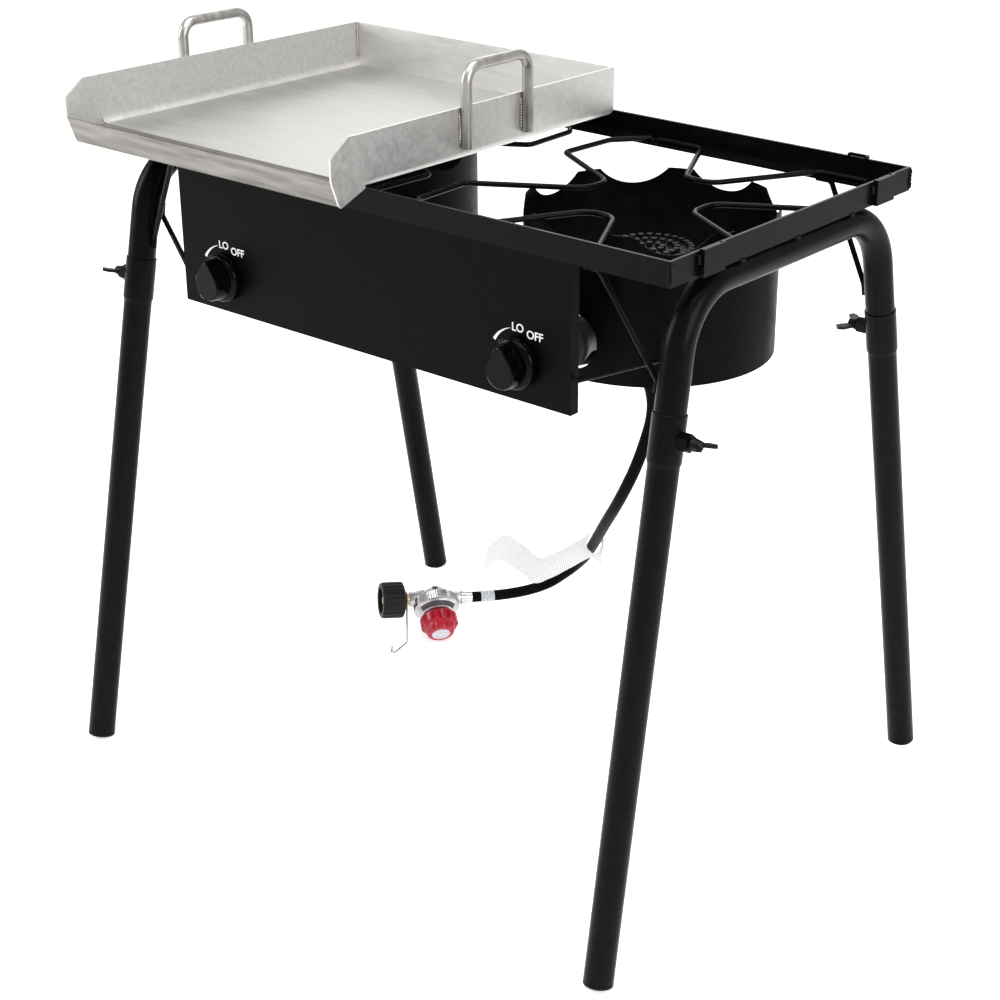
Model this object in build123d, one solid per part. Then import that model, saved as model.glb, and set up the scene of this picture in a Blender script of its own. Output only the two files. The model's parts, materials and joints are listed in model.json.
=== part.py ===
from build123d import *
import math
import os

os.makedirs("parts", exist_ok=True)

# Driving dimensions in mm. X runs along the stand, -Y is the control side, Z is up, the floor is z = 0.
FRAME_LENGTH = 772.0
FRAME_WIDTH = 434.0
RAIL_TOP = 744.0
ANGLE_LEG = 25.4
ANGLE_THICK = 3.0
TUBE_RADIUS = 31.75 / 2
TUBE_WALL = 1.5
ROD_RADIUS = 3.0
BURNER_X = 207.5
SHROUD_RADIUS = 133.35
CONTROL_Z = 606.0

RAIL_BOTTOM = RAIL_TOP - ANGLE_LEG
FLANGE_TOP = RAIL_BOTTOM + ANGLE_THICK
HALF_LENGTH = FRAME_LENGTH / 2
HALF_WIDTH = FRAME_WIDTH / 2
POT_ROD_Z = FLANGE_TOP + ROD_RADIUS

# Leg line: the tube axis passes these two points on the right-hand back corner.
LEG_HIGH = Vector(375.0, 194.6, 587.0)
LEG_LOW = Vector(388.0, 308.1, 0.0)
LEG_UP = (LEG_HIGH - LEG_LOW).normalized()
SOCKET_TOP_Z = 589.0
SOCKET_DEPTH = 46.0
SOCKET_LENGTH = 47.0
SOCKET_BORE = TUBE_RADIUS + 0.07
SOCKET_RADIUS = 17.15
BRACKET_BEND = 72.0
CLAMP_BELOW_SOCKET_TOP = 24.0
CLAMP_BORE = 4.05
CLAMP_SHANK = 4.0

PANEL_HALF = 273.5
PANEL_BOTTOM = 566.0
PANEL_SHEET = 1.5
PANEL_RETURN = 12.0
SHROUD_BOTTOM = 566.0
SHROUD_SHEET = 1.2
SCALLOP_RADIUS = 49.0
SCALLOP_FLOOR = 704.0

GRIDDLE_SHEET = 2.5
GRIDDLE_X = (-396.0, 10.0)
GRIDDLE_BACK = 192.0
GRIDDLE_WALL_TOP = 800.0
HOSE_RADIUS = 7.2


def save(shape, name):
    export_step(shape, f"parts/{name}.step")


def rod(points, radius, bend):
    """Round bar bent through the points."""
    path = FilletPolyline(*points, radius=bend) if len(points) > 2 else Line(*points)
    section = Plane(origin=path @ 0, z_dir=path % 0) * Circle(radius)
    return sweep(section, path=path)


def cylinder_between(start, end, radius):
    start, end = Vector(start), Vector(end)
    plane = Plane(origin=start, z_dir=end - start)
    return plane * Cylinder(radius, (end - start).length, align=(Align.CENTER, Align.CENTER, Align.MIN))


def tube_between(start, end, outer, inner):
    return cylinder_between(start, end, outer) - cylinder_between(start, end, inner)


def block(low, high):
    size = [b - a for a, b in zip(low, high)]
    return Pos(*low) * Box(*size, align=(Align.MIN, Align.MIN, Align.MIN))


def turned(profile, axis_start, axis_direction):
    """Solid of revolution: profile is a list of (along the axis, radius)."""
    face = make_face(Polyline(*[(r, 0, h) for h, r in profile], close=True))
    spun = revolve(face, Axis.Z)
    return Plane(origin=axis_start, z_dir=axis_direction) * spun


def mirrored_x(shape):
    return mirror(shape, about=Plane.YZ)


def mirrored_y(shape):
    return mirror(shape, about=Plane.XZ)


# ---------------------------------------------------------------- welded angle-iron frame
def frame_ring():
    """Angle-iron rectangle: an upright wall outside and a shelf flange along its bottom edge."""
    outer = Rectangle(FRAME_LENGTH, FRAME_WIDTH)
    inside_wall = Rectangle(FRAME_LENGTH - 2 * ANGLE_THICK, FRAME_WIDTH - 2 * ANGLE_THICK)
    inside_flange = Rectangle(FRAME_LENGTH - 2 * ANGLE_LEG, FRAME_WIDTH - 2 * ANGLE_LEG)
    wall = extrude(Pos(0, 0, RAIL_BOTTOM) * (outer - inside_wall), ANGLE_LEG)
    flange = extrude(Pos(0, 0, RAIL_BOTTOM) * (outer - inside_flange), ANGLE_THICK)
    return wall + flange


def rail_sector(corner_a, corner_b, apex_a, apex_b):
    """Prism over one side of the frame, bounded by its two 45-degree mitre planes."""
    outline = make_face(Polyline(corner_a, corner_b, apex_b, apex_a, close=True))
    return extrude(Pos(0, 0, RAIL_BOTTOM - 1) * outline, ANGLE_LEG + 2)


def rails():
    ring = frame_ring()
    inset = HALF_WIDTH - 30.0
    long_apex = HALF_LENGTH - inset
    short_apex = HALF_WIDTH - inset
    front = rail_sector(
        (-HALF_LENGTH, -HALF_WIDTH), (HALF_LENGTH, -HALF_WIDTH), (-long_apex, -short_apex), (long_apex, -short_apex)
    )
    right = rail_sector(
        (HALF_LENGTH, -HALF_WIDTH), (HALF_LENGTH, HALF_WIDTH), (long_apex, -short_apex), (long_apex, short_apex)
    )
    save(ring & front, "front_rail")
    save(ring & mirrored_y(front), "back_rail")
    save(ring & right, "right_rail")
    save(ring & mirrored_x(right), "left_rail")


# ---------------------------------------------------------------- pot-support rods, welded on the rail flanges
FINGER_TIP_BEND = 24.0


def pot_supports():
    """Four bent rods around the right-hand burner, lying on the flanges and on the shroud's tabs."""
    z = POT_ROD_Z
    inner = [(59, 199), (29, 161), (25, 84), (135, 17), (135, -17), (25, -84), (29, -161), (59, -199)]
    outer = [(376, 84), (352, 68), (270, 19), (270, -19), (352, -68), (376, -84)]
    back = [(72, 199), (130, 199), (189, 84), (222, 84), (285, 199), (346, 199)]
    tip = FINGER_TIP_BEND
    inner_rod = rod([(x, y, z) for x, y in inner], ROD_RADIUS, [12, 12, tip, tip, 12, 12])
    outer_rod = rod([(x, y, z) for x, y in outer], ROD_RADIUS, [10, tip, tip, 10])
    back_rod = rod([(x, y, z) for x, y in back], ROD_RADIUS, [12, tip, tip, 12])
    return Compound([inner_rod, outer_rod, back_rod, mirrored_y(back_rod)])


# ---------------------------------------------------------------- leg brackets, legs, braces
def on_leg(z, side_x=1, side_y=1):
    """Point of a leg's axis at height z."""
    point = LEG_LOW + LEG_UP * ((z - LEG_LOW.Z) / LEG_UP.Z)
    return Vector(point.X * side_x, point.Y * side_y, point.Z)


def leg_bracket(side_x):
    """Inverted U of tube welded under a short rail, its ends plugged into the leg sockets."""
    top_z = RAIL_BOTTOM - TUBE_RADIUS
    end_z = SOCKET_TOP_Z - SOCKET_DEPTH * LEG_UP.Z
    points = [on_leg(end_z, side_x, -1), on_leg(top_z, side_x, -1), on_leg(top_z, side_x, 1), on_leg(end_z, side_x, 1)]
    outside = rod(points, TUBE_RADIUS, BRACKET_BEND)
    inside = rod(points, TUBE_RADIUS - TUBE_WALL, BRACKET_BEND)
    return outside - inside


PLUG_CAP = 2.5
PLUG_WEAR = 0.9
CUT_END_Z = TUBE_RADIUS * math.sqrt(1 - LEG_UP.Z**2) + PLUG_CAP * LEG_UP.Z - PLUG_WEAR
LEG_LENGTH = (SOCKET_TOP_Z - CUT_END_Z) / LEG_UP.Z
CLAMP_HEIGHT = LEG_LENGTH - CLAMP_BELOW_SOCKET_TOP
# The wing bolts point outwards in front and inwards at the back.
CLAMP_TURN = {-1: 0.0, 1: 180.0}


def leg_plane(side_x, side_y):
    """Local frame of a leg: Z up along the tube from its cut end, X pointing outwards."""
    up = Vector(LEG_UP.X * side_x, LEG_UP.Y * side_y, LEG_UP.Z)
    outwards = Vector(side_x, 0, 0)
    outwards = (outwards - up * outwards.dot(up)).normalized()
    return Plane(origin=on_leg(CUT_END_Z, side_x, side_y), x_dir=outwards, z_dir=up)


def stacked(radius, low, high):
    return Pos(0, 0, low) * Cylinder(radius, high - low, align=(Align.CENTER, Align.CENTER, Align.MIN))


def leg_tube(side_y):
    """Leg in its own frame: plain tube, swaged socket on top, clearance hole for the clamp bolt."""
    shoulder = LEG_LENGTH - SOCKET_DEPTH
    socket_low = LEG_LENGTH - SOCKET_LENGTH
    body = stacked(TUBE_RADIUS, 0, socket_low) + stacked(SOCKET_RADIUS, socket_low, LEG_LENGTH)
    body -= stacked(TUBE_RADIUS - TUBE_WALL, 0, shoulder)
    body -= stacked(SOCKET_BORE, shoulder, LEG_LENGTH + 1)
    hole = Rot(0, 0, CLAMP_TURN[side_y]) * Pos(10, 0, CLAMP_HEIGHT) * Rot(0, 90, 0) * stacked(CLAMP_BORE + 0.3, 0, 12)
    return body - hole


def foot_plug():
    """Push-in end plug with a thin cap."""
    inner = TUBE_RADIUS - TUBE_WALL
    plug = stacked(TUBE_RADIUS, -PLUG_CAP, 0) + stacked(inner, 0, 14)
    return plug - stacked(inner - 2, 1.0, 15)


def clamp_nut(side_y):
    """Hexagon nut welded to the socket, its inner end saddled to the tube."""
    prism = extrude(RegularPolygon(8.2, 6, major_radius=False), 12)
    prism -= stacked(CLAMP_BORE, -1, 13)
    placed = Rot(0, 0, CLAMP_TURN[side_y]) * Pos(15.6, 0, CLAMP_HEIGHT) * Rot(0, 90, 0) * prism
    return placed - stacked(SOCKET_RADIUS, CLAMP_HEIGHT - 30, CLAMP_HEIGHT + 30)


def wing_bolt(side_y):
    """Clamp screw: threaded shank, conical hub and two wings."""
    shank = stacked(CLAMP_SHANK, 16.2, 30)
    hub = Pos(0, 0, 30) * Cone(7.0, 5.2, 9, align=(Align.CENTER, Align.CENTER, Align.MIN))
    wing_outline = make_face(
        Polyline((4.5, 31.5), (7.5, 31.5), (15.5, 38.0), (17.5, 45.0), (13.5, 49.0), (9.5, 45.5), (4.5, 38.5), close=True)
    )
    wing = extrude(Plane.XZ * wing_outline, 1.7, both=True)
    bolt = shank + hub + wing + mirrored_x(wing)
    upright = Pos(0, 0, CLAMP_HEIGHT) * Rot(0, 90, 0) * Rot(0, 0, 90) * bolt
    return Rot(0, 0, CLAMP_TURN[side_y]) * upright


def legs():
    names = {(-1, -1): "front_left", (1, -1): "front_right", (-1, 1): "back_left", (1, 1): "back_right"}
    floor_cut = Pos(0, 0, -50) * Box(2000, 2000, 100)
    for (side_x, side_y), corner in names.items():
        place = leg_plane(side_x, side_y).location
        save(place * leg_tube(side_y), f"{corner}_leg")
        save((place * foot_plug()) - floor_cut, f"{corner}_foot_plug")
        save(place * clamp_nut(side_y), f"{corner}_clamp_nut")
        save(place * wing_bolt(side_y), f"{corner}_wing_bolt")
        save(corner_brace(side_x, side_y), f"{corner}_brace")


def corner_brace(side_x, side_y):
    """Rod from the long rail's flange down to the inner side of the bracket tube, its foot laid along the tube."""
    inner_side = Vector(-side_x, 0, 0) * (TUBE_RADIUS + ROD_RADIUS + 0.05)
    foot_high = on_leg(615, side_x, side_y) + inner_side
    foot_low = on_leg(603, side_x, side_y) + inner_side
    top = Vector(side_x * 297.0, side_y * 205.0, RAIL_BOTTOM - ROD_RADIUS)
    top_end = top + Vector(-side_x * 18, 0, 0)
    return rod([top_end, top, foot_high, foot_low], ROD_RADIUS, 8)


def panel_stay(side_x):
    """Rod from the panel's end flange back to the bracket tube."""
    start = Vector(side_x * (PANEL_HALF + ROD_RADIUS + 0.2), -210.0, 602.0)
    beside_tube = Vector(-side_x * 0.6, 0.8, 0) * (TUBE_RADIUS + ROD_RADIUS + 0.3)
    low_end = on_leg(636, side_x, -1) + beside_tube
    high_end = on_leg(650, side_x, -1) + beside_tube
    return rod([start, low_end, high_end], ROD_RADIUS, 6)


# ---------------------------------------------------------------- accessory clips on the rails
CLIP_HEIGHT = 27.0
CLIP_DEPTH = 6.0
CLIP_SHEET = 2.0


def rail_clip(width):
    """Channel standing on the outside of a rail, open at the top and bottom for an accessory's tongue."""
    shell = block((0, -width / 2, 0), (CLIP_DEPTH, width / 2, CLIP_HEIGHT))
    slot = block(
        (-1, CLIP_SHEET - width / 2, -1), (CLIP_DEPTH - CLIP_SHEET, width / 2 - CLIP_SHEET, CLIP_HEIGHT + 1)
    )
    return shell - slot


def accessory_clips():
    """Two wide clips on the right rail and two narrow ones on the back rail."""
    low = RAIL_TOP + 2.0 - CLIP_HEIGHT
    right = [Pos(HALF_LENGTH, y, low) * rail_clip(35.0) for y in (-154.5, 156.5)]
    back = [Pos(x, HALF_WIDTH, low) * Rot(0, 0, 90) * rail_clip(24.0) for x in (-320.0, 320.0)]
    return Compound(right + back)


# ---------------------------------------------------------------- control panel
def front_panel():
    """Sheet hung flush under the front rail, with returns along its ends and bottom."""
    front = -HALF_WIDTH
    back = front + PANEL_RETURN
    low, high = PANEL_BOTTOM, RAIL_BOTTOM
    shell = block((-PANEL_HALF, front, low), (PANEL_HALF, back, high))
    inside = block(
        (-PANEL_HALF + PANEL_SHEET, front + PANEL_SHEET, low + PANEL_SHEET), (PANEL_HALF - PANEL_SHEET, back + 1, high + 1)
    )
    panel = shell - inside
    for x in (-BURNER_X, BURNER_X):
        panel -= cylinder_between((x, front - 5, CONTROL_Z), (x, front + 5, CONTROL_Z), 7.0)
        for dx in (-17.0, 17.0):
            panel -= cylinder_between((x + dx, front - 5, CONTROL_Z), (x + dx, front + 5, CONTROL_Z), 2.2)
    return panel


# ---------------------------------------------------------------- burner bowls
def shroud(side_x):
    """Open cylinder with eight tabs, scallops between them and an inlet hole in front."""
    ring = stacked(SHROUD_RADIUS, SHROUD_BOTTOM, FLANGE_TOP) - stacked(
        SHROUD_RADIUS - SHROUD_SHEET, SHROUD_BOTTOM - 1, FLANGE_TOP + 1
    )
    scallop = Pos(0, 0, SCALLOP_FLOOR + SCALLOP_RADIUS) * Rot(0, 90, 0) * Cylinder(
        SCALLOP_RADIUS, 2 * SHROUD_RADIUS + 20
    )
    for k in range(4):
        ring -= Rot(0, 0, 45 * k) * scallop
    inlet = cylinder_between((0, -SHROUD_RADIUS - 10, CONTROL_Z), (0, -SHROUD_RADIUS + 10, CONTROL_Z), 30.0)
    return Pos(side_x * BURNER_X, 0, 0) * (ring - inlet)


HEAD_RADIUS = 52.0
HEAD_TOP = 668.5
PORT_RADIUS = 3.2
PORT_RINGS = ((42.0, 28), (27.0, 18), (12.0, 8))
BAR_TOP = 636.0
THROAT_RADIUS = 15.0
MOUTH_Y = -146.0
NECK_Z = CONTROL_Z


def burner(side_x):
    """Cast round burner: hollow head with a ring of ports, elbow and flared mixing tube."""
    head_profile = [(NECK_Z + 20, 0), (NECK_Z + 20, 20), (HEAD_TOP - 24, HEAD_RADIUS - 3), (HEAD_TOP - 6, HEAD_RADIUS)]
    head_profile += [(HEAD_TOP, HEAD_RADIUS - 6), (HEAD_TOP, 0)]
    head = turned(head_profile, (0, 0, 0), (0, 0, 1))
    elbow = stacked(20, NECK_Z - 19, NECK_Z + 22)
    tube_profile = [(0, 0), (0, 27), (6, 27), (30, 19), (-MOUTH_Y, 19), (-MOUTH_Y, 0)]
    tube = turned(tube_profile, (0, MOUTH_Y, CONTROL_Z), (0, 1, 0))
    bore_profile = [(-1, 0), (-1, 23), (6, 23), (30, THROAT_RADIUS), (-MOUTH_Y, THROAT_RADIUS), (-MOUTH_Y, 0)]
    bore = turned(bore_profile, (0, MOUTH_Y, CONTROL_Z), (0, 1, 0))
    bore += stacked(14, CONTROL_Z, HEAD_TOP - 8)
    casting = head + elbow + tube - bore
    for ring_radius, count in PORT_RINGS:
        for place in PolarLocations(ring_radius, count):
            casting += Pos(0, 0, HEAD_TOP + 1.5) * place * Cylinder(PORT_RADIUS, 7)
    for angle in (0, 180):
        casting += Rot(0, 0, angle) * block((38, -9, BAR_TOP), (62, 9, BAR_TOP + 6))
    return Pos(side_x * BURNER_X, 0, 0) * casting


def burner_support(side_x):
    """Flat bar across the bowl that carries the burner's two lugs."""
    reach = math.sqrt((SHROUD_RADIUS - SHROUD_SHEET) ** 2 - 9.0**2)
    bar = block((-reach, -9, BAR_TOP - 3), (reach, 9, BAR_TOP))
    opening = Pos(0, 0, BAR_TOP) * Cylinder(48, 20)
    return Pos(side_x * BURNER_X, 0, 0) * (bar - opening)


# ---------------------------------------------------------------- gas train
SPUD_RADIUS = 6.0
VALVE_BACK_Y = -186.0
MANIFOLD_Y = -194.0
MANIFOLD_Z = 582.0
MANIFOLD_RADIUS = 6.4
STEM_RADIUS = 3.0


def air_shutter(side_x):
    """Disc turning on the mixing tube's mouth, with two air windows and a rim."""
    disc = stacked(27.0, 0, 1.5) - stacked(SPUD_RADIUS + 0.4, -1, 3)
    for angle in (0, 180):
        window = stacked(21, -1, 3) - stacked(11, -2, 4)
        wedge = extrude(make_face(Polyline((0, 0), (40, -22), (40, 22), close=True)), 3, both=True)
        disc -= Rot(0, 0, angle) * (window & wedge)
    tab = block((-5, 26, 0), (5, 33, 1.5))
    facing = Plane(origin=(side_x * BURNER_X, MOUTH_Y - 0.4, CONTROL_Z), z_dir=(0, -1, 0), x_dir=(1, 0, 0))
    return facing.location * (disc + tab)


def valve(side_x):
    """Brass gas valve: body, inlet saddle on the manifold, orifice spud and stem bushing."""
    body = block((-10, MANIFOLD_Y - 9, CONTROL_Z - 11), (10, VALVE_BACK_Y + 9, CONTROL_Z + 11))
    inlet = block((-8, MANIFOLD_Y - 7, MANIFOLD_Z), (8, MANIFOLD_Y + 7, CONTROL_Z - 10))
    inlet -= cylinder_between((-20, MANIFOLD_Y, MANIFOLD_Z), (20, MANIFOLD_Y, MANIFOLD_Z), MANIFOLD_RADIUS)
    spud = cylinder_between((0, VALVE_BACK_Y + 8, CONTROL_Z), (0, MOUTH_Y + 6, CONTROL_Z), SPUD_RADIUS)
    bushing = cylinder_between((0, -HALF_WIDTH + PANEL_SHEET, CONTROL_Z), (0, MANIFOLD_Y - 8, CONTROL_Z), 9.0)
    shape = body + inlet + spud + bushing
    shape -= cylinder_between((0, -HALF_WIDTH - 10, CONTROL_Z), (0, MANIFOLD_Y, CONTROL_Z), STEM_RADIUS + 0.06)
    shape -= cylinder_between((0, MOUTH_Y, CONTROL_Z), (0, MOUTH_Y + 7, CONTROL_Z), 1.0)
    return Pos(side_x * BURNER_X, 0, 0) * shape


KNOB_SKIRT = 26.5
KNOB_FRONT = -246.0
KNOB_BACK = -220.0


def valve_stem(side_x):
    stem = cylinder_between((0, KNOB_FRONT + 8, CONTROL_Z), (0, MANIFOLD_Y - 1, CONTROL_Z), STEM_RADIUS)
    return Pos(side_x * BURNER_X, 0, 0) * stem


def knob(side_x):
    """Moulded knob: round skirt, drop-shaped grip pointing up and a blind stem hole."""
    skirt_depth = 9.0
    skirt = turned(
        [(0, 0), (0, KNOB_SKIRT), (skirt_depth - 3, KNOB_SKIRT), (skirt_depth, KNOB_SKIRT - 3), (skirt_depth, 0)],
        (0, 0, 0),
        (0, 0, 1),
    )
    grip_outline = make_hull(
        (Pos(0, -4) * Circle(18.5)).edges() + (Pos(0, 17.5) * Circle(6.5)).edges()
    )
    grip = extrude(Pos(0, 0, skirt_depth - 1) * grip_outline, KNOB_BACK - KNOB_FRONT - skirt_depth + 1, taper=4)
    facing = Plane(origin=(side_x * BURNER_X, KNOB_BACK, CONTROL_Z), z_dir=(0, -1, 0), x_dir=(1, 0, 0))
    shape = facing.location * (skirt + grip)
    hole = cylinder_between((0, KNOB_FRONT + 8, CONTROL_Z), (0, KNOB_BACK + 1, CONTROL_Z), STEM_RADIUS)
    return shape - Pos(side_x * BURNER_X, 0, 0) * hole


MANIFOLD_END_X = 230.0
OUTLET_X = 120.0
OUTLET_LENGTH = 38.0
OUTLET_DIRECTION = Vector(0.0, 0.915, -0.403).normalized()
HOSE_START = Vector(OUTLET_X, MANIFOLD_Y, MANIFOLD_Z) + OUTLET_DIRECTION * OUTLET_LENGTH


def gas_manifold():
    """Capped pipe behind the panel feeding both valves, with a branch down and back to the hose fitting."""
    pipe = cylinder_between(
        (-MANIFOLD_END_X, MANIFOLD_Y, MANIFOLD_Z), (MANIFOLD_END_X, MANIFOLD_Y, MANIFOLD_Z), MANIFOLD_RADIUS
    )
    branch = cylinder_between((OUTLET_X, MANIFOLD_Y, MANIFOLD_Z), HOSE_START, MANIFOLD_RADIUS)
    nut_plane = Plane(origin=HOSE_START - OUTLET_DIRECTION * 16, z_dir=OUTLET_DIRECTION, x_dir=(1, 0, 0))
    fitting = nut_plane.location * extrude(RegularPolygon(9.0, 6, major_radius=False), 16)
    return pipe + branch + fitting


# ---------------------------------------------------------------- griddle
def griddle_pan():
    """Folded stainless pan with low-walled grease trough along its front edge."""
    x_low, x_high = GRIDDLE_X
    base = RAIL_TOP
    front = -265.0
    section = [(-217.6, base), (GRIDDLE_BACK, base), (GRIDDLE_BACK, GRIDDLE_WALL_TOP), (-239, GRIDDLE_WALL_TOP)]
    section += [(front, 782), (front, 760), (-254, 730)]
    profile = Plane.YZ * make_face(Polyline(*section, close=True))
    outside = Pos(x_low, 0, 0) * extrude(profile, x_high - x_low)
    t = GRIDDLE_SHEET
    hollow_section = [(-217.0, base + t), (GRIDDLE_BACK - t, base + t), (GRIDDLE_BACK - t, GRIDDLE_WALL_TOP + 9)]
    hollow_section += [(-300, GRIDDLE_WALL_TOP + 9), (-300, 761), (front + t + 0.2, 760), (-252.6, 733.5)]
    hollow_profile = Plane.YZ * make_face(Polyline(*hollow_section, close=True))
    hollow = Pos(x_low + t, 0, 0) * extrude(hollow_profile, x_high - x_low - 2 * t)
    return outside - hollow


def griddle_handle(outside_x, direction, front_y, top_z):
    """Bent round bar standing on the outside of a pan wall."""
    x = outside_x + direction * 6.0
    back_y = front_y + 100.0
    points = [(x, front_y, 757), (x, front_y, top_z), (x, back_y, top_z), (x, back_y, 757)]
    return rod(points, 6.0, 18)


# ---------------------------------------------------------------- hose and regulator
REG_CENTRE = Vector(-253.2, 157.6, 46.2)
HOSE_END = Vector(-223.7, 198.1, 41.9)
REG_AXIS = (REG_CENTRE - HOSE_END).normalized()
REG_SIDE = REG_AXIS.cross(Vector(0, 0, 1)).normalized() * -1
REG_UP = REG_AXIS.cross(REG_SIDE).normalized()
KNOB_TILT = math.radians(31.0)
CASE_SPLIT = 12.0
HOSE_TO_CENTRE = (REG_CENTRE - HOSE_END).length
HOSE_POINTS = [
    HOSE_START,
    HOSE_START + OUTLET_DIRECTION * 66,
    Vector(126, -20, 534),
    Vector(142, 60, 524),
    Vector(149, 102, 456),
    Vector(134, 92, 382),
    Vector(104, 95, 320),
    Vector(38, 150, 245),
    Vector(-34, 225, 171),
    Vector(-109, 296, 93),
    HOSE_END - REG_AXIS * 86,
    HOSE_END,
]


def hose_radii(points):
    """Bend radius at each inner point, from its shorter neighbouring run and half its turn."""
    radii = []
    for before, here, after in zip(points, points[1:], points[2:]):
        arriving = here - before
        leaving = after - here
        half_turn = math.radians(arriving.get_angle(leaving)) / 2
        radii.append(0.45 * min(arriving.length, leaving.length) / math.tan(half_turn))
    return radii


def hose():
    radii = hose_radii(HOSE_POINTS)
    print("hose bend radii", [round(r) for r in radii])
    path = FilletPolyline(*HOSE_POINTS, radius=radii)
    print("hose length", round(path.length, 1))
    section = Plane(origin=path @ 0, z_dir=path % 0) * Circle(HOSE_RADIUS)
    tube = sweep(section, path=path)
    print("hose volume over section times length", tube.volume / (math.pi * HOSE_RADIUS**2 * path.length))
    return tube


def on_regulator(along):
    """Point on the regulator's inlet-outlet line, measured from its centre towards the tank."""
    return REG_CENTRE + REG_AXIS * along


def knob_direction():
    """The knob's axis, square to the inlet-outlet line and pointing down to the ground in front."""
    return REG_SIDE * math.cos(KNOB_TILT) - REG_UP * math.sin(KNOB_TILT)


def on_knob_axis(profile):
    return turned(profile, REG_CENTRE, knob_direction())


def hose_ferrule():
    profile = [(0, 0), (0, 9), (11, 9), (12, 10.5), (15, 10.5), (15, 0)]
    return turned(profile, on_regulator(-HOSE_TO_CENTRE), REG_AXIS)


def regulator_body():
    """Die-cast back half of the diaphragm case with its inlet and outlet bosses."""
    case = on_knob_axis([(-12, 0), (-12, 13), (-5, 20), (1, 27), (5, 30.5), (CASE_SPLIT, 30.5), (CASE_SPLIT, 0)])
    outlet = cylinder_between(on_regulator(15 - HOSE_TO_CENTRE), on_regulator(0), 8.5)
    inlet = cylinder_between(on_regulator(0), on_regulator(36), 10.5)
    return case + outlet + inlet


def regulator_bonnet():
    """Front half of the case: clamping flange, dome and the neck under the knob."""
    profile = [(0, 0), (0, 30.5), (5, 30.5), (7, 27), (14, 22), (17, 15), (30, 15), (30, 0)]
    return on_knob_axis([(CASE_SPLIT + along, radius) for along, radius in profile])


def regulator_knob():
    """Cupped knob over the neck with a scalloped grip and a stepped end."""
    cup = [(30.5, 15.4), (30.5, 23.5), (33, 25.5), (45, 25.5), (47, 20), (55, 18.5), (57, 16.5), (57, 0), (43, 0)]
    body = on_knob_axis(cup + [(43, 15.4)])
    knob_plane = Plane(origin=REG_CENTRE, z_dir=knob_direction())
    for place in PolarLocations(28.2, 14):
        body -= knob_plane.location * place * Pos(0, 0, 29) * Cylinder(
            4.0, 20, align=(Align.CENTER, Align.CENTER, Align.MIN)
        )
    return body


def tank_nipple():
    """Brass inlet nipple with its seating nose."""
    profile = [(36, 0), (36, 7.8), (41.6, 7.8), (41.6, 6.0), (62, 6.0), (62, 7.0), (67, 7.0), (72, 4.5), (72, 0)]
    return turned(profile, REG_CENTRE, REG_AXIS) - cylinder_between(on_regulator(40), on_regulator(73), 2.0)


def tank_nut():
    """Large hand nut: ribbed cup that turns on the nipple."""
    cup = [(42, 6.35), (42, 20), (45, 24.5), (73, 24.5), (75, 23), (75, 17.5), (48, 17.5), (48, 6.35)]
    body = turned(cup, REG_CENTRE, REG_AXIS)
    nut_plane = Plane(origin=REG_CENTRE, z_dir=REG_AXIS)
    for place in PolarLocations(25.6, 24):
        body -= nut_plane.location * place * Pos(0, 0, 48) * Cylinder(
            1.9, 30, align=(Align.CENTER, Align.CENTER, Align.MIN)
        )
    return body


def retaining_wire():
    """Spring wire: an eye round the nipple and a bent tail reaching the floor."""
    eye_plane = Plane(origin=on_regulator(39.6), z_dir=REG_AXIS)
    eye = eye_plane.location * Torus(9.0, 1.2)
    start = on_regulator(39.6) + Vector(0.55, -0.45, -0.75).normalized() * 9.0
    tail = rod([start, (-246, 92, 8), (-245.6, 61.3, 1.4), (-261.6, 80, 1.4)], 1.2, 4)
    return eye + tail


# ---------------------------------------------------------------- instruction strip threaded on the hose
TAG_THICK = 0.8
TAG_HALF_WIDTH = 17.0
TAG_ORIGIN = Vector(-36.0, 227.0, 169.0)
TAG_LEFTWARDS = Vector(-0.96, -0.28, 0.0).normalized()
TAG_LEAN = math.radians(24.0)
# Middle line of the strip: distance to the left of the hose, height along the leaning strip.
TAG_WAVE = [(-14, -8), (0, -1), (27, -19), (54, -39), (71, -47), (93, -36), (107, -30), (129, -27), (148, -45)]


def safety_tag():
    """Paper strip waving away from the hose, which passes through a hole near one end."""
    backwards = TAG_LEFTWARDS.cross(Vector(0, 0, 1))
    up = Vector(0, 0, 1) * math.cos(TAG_LEAN) + backwards * math.sin(TAG_LEAN)
    plane = Plane(origin=TAG_ORIGIN, x_dir=TAG_LEFTWARDS, z_dir=TAG_LEFTWARDS.cross(up))
    top = Spline(*[(s, h + TAG_HALF_WIDTH) for s, h in TAG_WAVE])
    bottom = Spline(*[(s, h - TAG_HALF_WIDTH) for s, h in TAG_WAVE])
    ends = [Line(top @ 0, bottom @ 0), Line(top @ 1, bottom @ 1)]
    strip = extrude(make_face([top, bottom] + ends), TAG_THICK / 2, both=True)
    path = FilletPolyline(*HOSE_POINTS, radius=hose_radii(HOSE_POINTS))
    hole = sweep(Plane(origin=path @ 0, z_dir=path % 0) * Circle(HOSE_RADIUS + 1.5), path=path)
    return plane.location * strip - hole


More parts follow.
